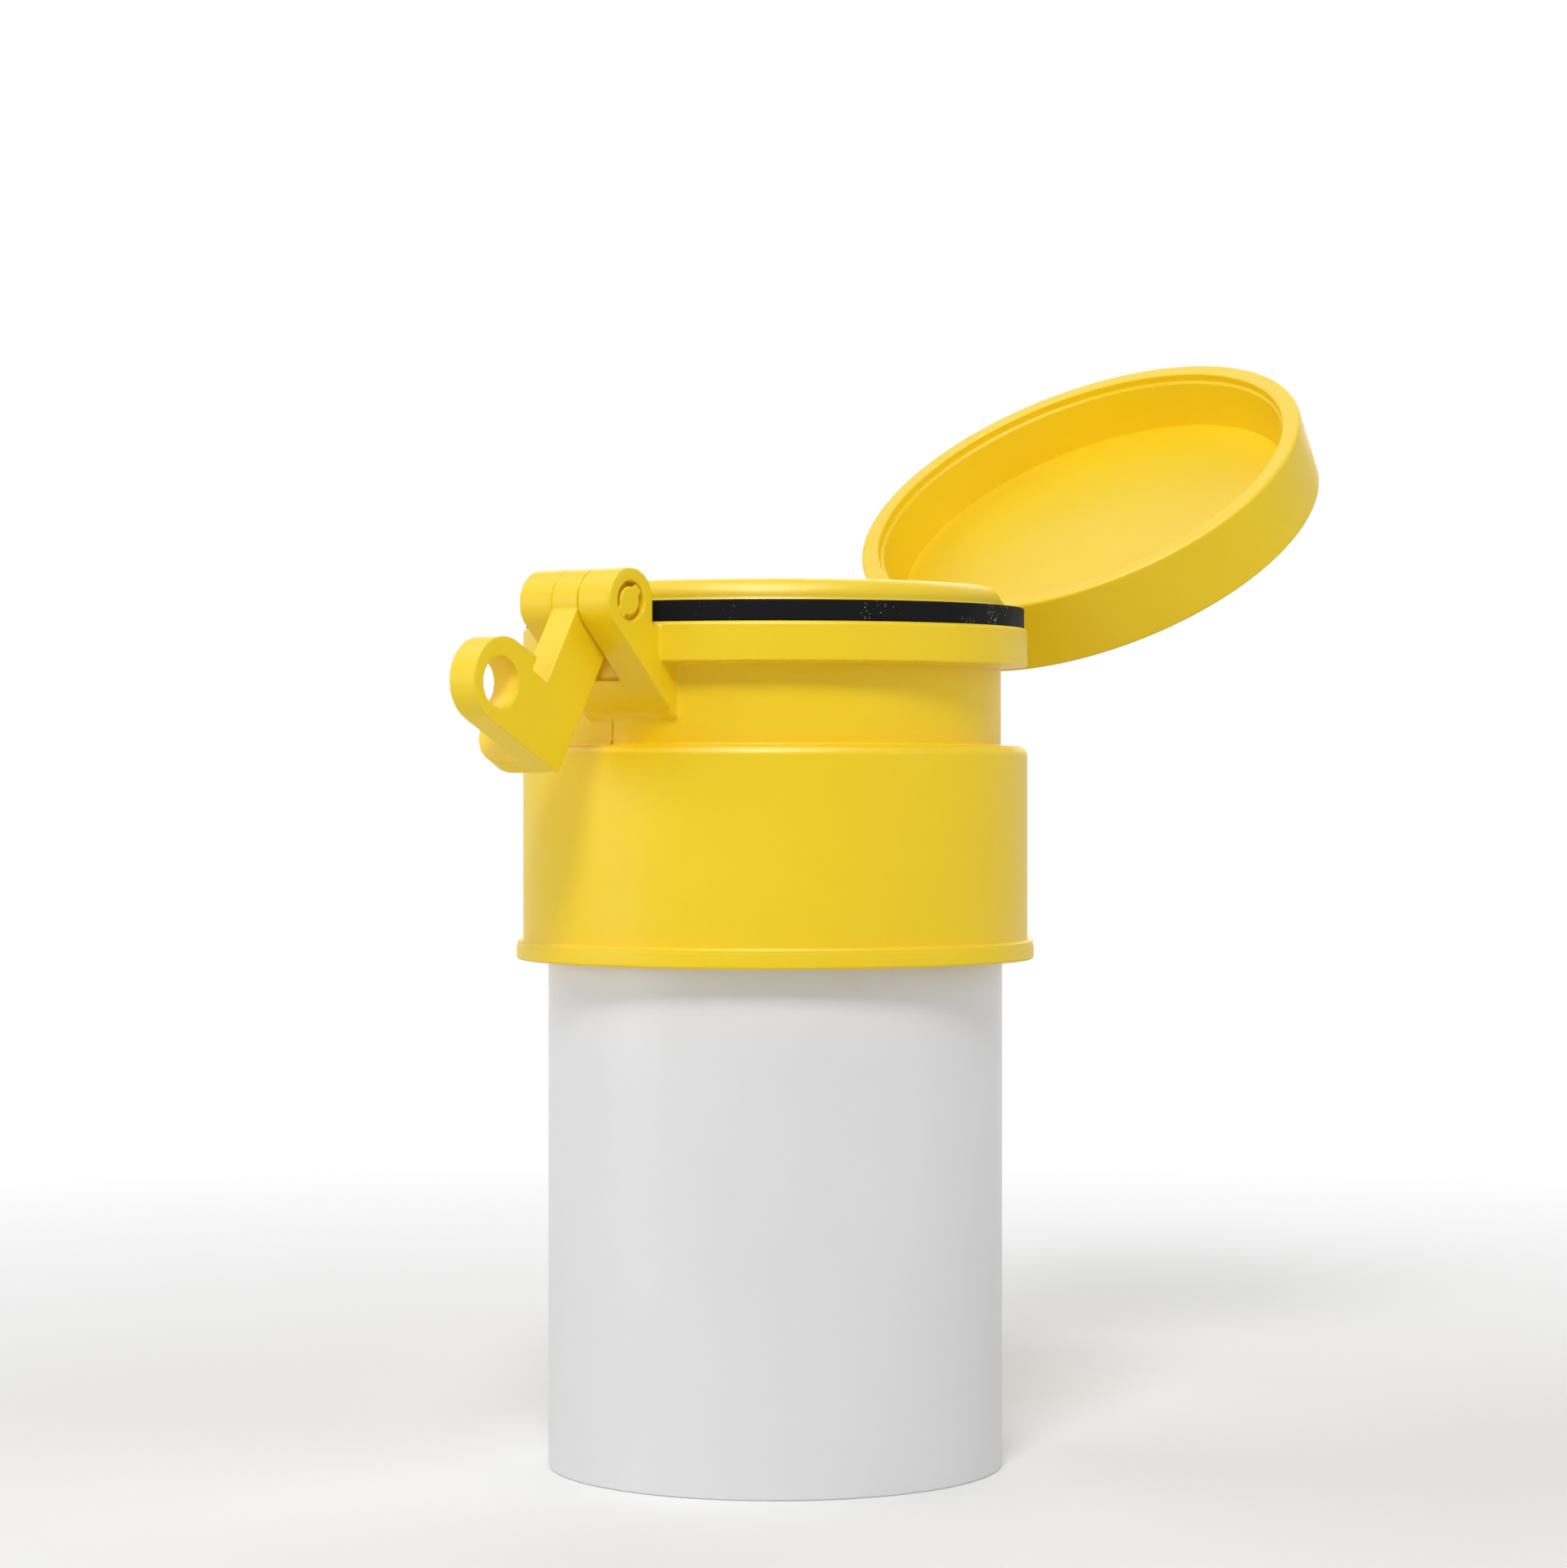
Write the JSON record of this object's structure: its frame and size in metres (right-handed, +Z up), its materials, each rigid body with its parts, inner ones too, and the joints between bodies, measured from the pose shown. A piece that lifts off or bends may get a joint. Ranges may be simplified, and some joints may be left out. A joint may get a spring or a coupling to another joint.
{
  "type": "lockable hinged pipe cap",
  "caption": "Hinged lockable cap on a plastic riser pipe, with a round gasketed mouth, an open lid and a hanging hasp with a padlock eye.",
  "frame": {"origin": "centre of the riser pipe's foot, on the pipe's axis", "axes": "+Z up along the pipe; -Y towards the hasp, +Y towards the lid's hinge; +X along both hinge pins towards their heads"},
  "size_m": [0.1302, 0.3219, 0.2906],
  "materials": {
    "pipe_plastic": "satin white extruded pipe",
    "cap_plastic": "smooth yellow moulding, soft sheen",
    "pin_plastic": "smooth yellow moulding",
    "gasket_rubber": "matt black",
    "clip_steel": "bright zinc plated"
  },
  "bodies": {
    "riser": {"riser_pipe": "pipe_plastic", "collar": "cap_plastic", "mouth_gasket": "gasket_rubber", "hasp_pin": "pin_plastic", "hasp_pin_clip": "clip_steel", "lid_pin": "pin_plastic", "lid_pin_clip": "clip_steel"},
    "lid": {"lid": "cap_plastic"},
    "hasp": {"hasp": "cap_plastic"}
  },
  "joints": [
    {"name": "lid_hinge", "type": "hinge", "parent": "riser", "child": "lid", "pos_m": [0, 0.0732, 0.2134], "axis": [1, 0, 0], "range_deg": [0, 144.9]},
    {"name": "hasp_hinge", "type": "hinge", "parent": "riser", "child": "hasp", "pos_m": [0, -0.07228, 0.21458], "axis": [-1, 0, 0], "range_deg": [0, 149]}
  ]
}
